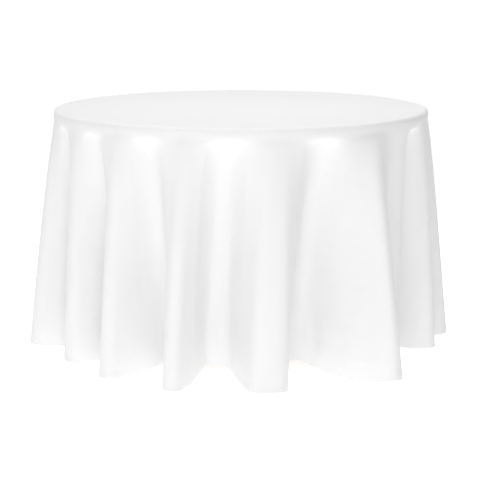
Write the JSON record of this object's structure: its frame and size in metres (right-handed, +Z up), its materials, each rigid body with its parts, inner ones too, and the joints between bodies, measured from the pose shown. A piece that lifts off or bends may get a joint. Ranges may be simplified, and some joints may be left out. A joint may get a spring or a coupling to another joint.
{
  "type": "tablecloth on a round folding table",
  "caption": "Floor-length round white tablecloth draped in soft folds over a round folding banquet table with inward-folding steel legs.",
  "frame": {"origin": "on the floor under the middle of the table", "axes": "+Z up, front towards -Y, +X to the right seen from the front"},
  "size_m": [1.3935, 1.3962, 0.7644],
  "materials": {
    "cloth": "matt plain-weave polyester",
    "thread": "spun polyester sewing thread",
    "plywood": "bare birch plywood",
    "rail_wood": "planed softwood",
    "laminate": "fine-textured melamine laminate",
    "moulding": "extruded vinyl",
    "tube_paint": "grey-black powder coat",
    "plated_steel": "zinc plated",
    "bracket_steel": "zinc-plated sheet",
    "nylon": "natural nylon",
    "foot_rubber": "moulded rubber"
  },
  "bodies": {
    "table": {"table_top": "plywood", "top_laminate": "laminate", "rim_ring": "plywood", "edge_moulding": "moulding", "rail_right": "rail_wood", "rail_left": "rail_wood", "stringer_front": "rail_wood", "stringer_back": "rail_wood", "hinge_bracket_right_front": "bracket_steel", "hinge_bracket_right_back": "bracket_steel", "hinge_bracket_left_front": "bracket_steel", "hinge_bracket_left_back": "bracket_steel", "hinge_rod_right": "plated_steel", "hinge_rod_left": "plated_steel", "brace_bracket_right": "bracket_steel", "brace_bracket_left": "bracket_steel", "brace_top_pin_right": "plated_steel", "brace_top_pin_left": "plated_steel", "bracket_screws": "plated_steel", "rail_screws": "plated_steel"},
    "leg_frame_right": {"pivot_tube_right": "tube_paint", "bushing_right_front": "nylon", "bushing_right_back": "nylon", "leg_right_front": "tube_paint", "leg_right_back": "tube_paint", "crossbar_right": "tube_paint", "brace_tab_right": "tube_paint", "brace_low_pin_right": "plated_steel", "foot_cap_right_front": "foot_rubber", "foot_cap_right_back": "foot_rubber"},
    "upper_link_right": {"brace_upper_link_right": "plated_steel"},
    "lower_link_right": {"brace_lower_link_right": "plated_steel", "knee_rivet_right": "plated_steel"},
    "leg_frame_left": {"pivot_tube_left": "tube_paint", "bushing_left_front": "nylon", "bushing_left_back": "nylon", "leg_left_front": "tube_paint", "leg_left_back": "tube_paint", "crossbar_left": "tube_paint", "brace_tab_left": "tube_paint", "brace_low_pin_left": "plated_steel", "foot_cap_left_front": "foot_rubber", "foot_cap_left_back": "foot_rubber"},
    "upper_link_left": {"brace_upper_link_left": "plated_steel"},
    "lower_link_left": {"brace_lower_link_left": "plated_steel", "knee_rivet_left": "plated_steel"},
    "cloth": {"tablecloth": "cloth", "hem": "cloth", "hem_thread": "thread"}
  },
  "joints": [
    {"name": "leg_fold_right", "type": "hinge", "parent": "table", "child": "leg_frame_right", "pos_m": [0.32, 0, 0.7], "axis": [0, 1, 0], "range_deg": [0, 90]},
    {"name": "upper_link_turn_right", "type": "hinge", "parent": "table", "child": "upper_link_right", "pos_m": [0.12, 0, 0.7], "axis": [0, 1, 0], "range_deg": [-44.3, 0]},
    {"name": "lower_link_turn_right", "type": "hinge", "parent": "leg_frame_right", "child": "lower_link_right", "pos_m": [0.296, 0, 0.41], "axis": [0, 1, 0], "range_deg": [0, 46.7]},
    {"name": "leg_fold_left", "type": "hinge", "parent": "table", "child": "leg_frame_left", "pos_m": [-0.32, 0, 0.66], "axis": [0, -1, 0], "range_deg": [0, 90]},
    {"name": "upper_link_turn_left", "type": "hinge", "parent": "table", "child": "upper_link_left", "pos_m": [-0.12, 0, 0.66], "axis": [0, -1, 0], "range_deg": [-44.3, 0]},
    {"name": "lower_link_turn_left", "type": "hinge", "parent": "leg_frame_left", "child": "lower_link_left", "pos_m": [-0.296, 0, 0.37], "axis": [0, -1, 0], "range_deg": [0, 46.7]},
    {"name": "cloth_lift", "type": "slide", "parent": "table", "child": "cloth", "axis": [0, 0, 1], "range_m": [0, 0.8]}
  ],
  "couplings": [
    {"joint": "upper_link_turn_right", "follows": "leg_fold_right", "ratio": -0.4868},
    {"joint": "lower_link_turn_right", "follows": "leg_fold_right", "ratio": 0.5132},
    {"joint": "upper_link_turn_left", "follows": "leg_fold_left", "ratio": -0.4868},
    {"joint": "lower_link_turn_left", "follows": "leg_fold_left", "ratio": 0.5132}
  ]
}
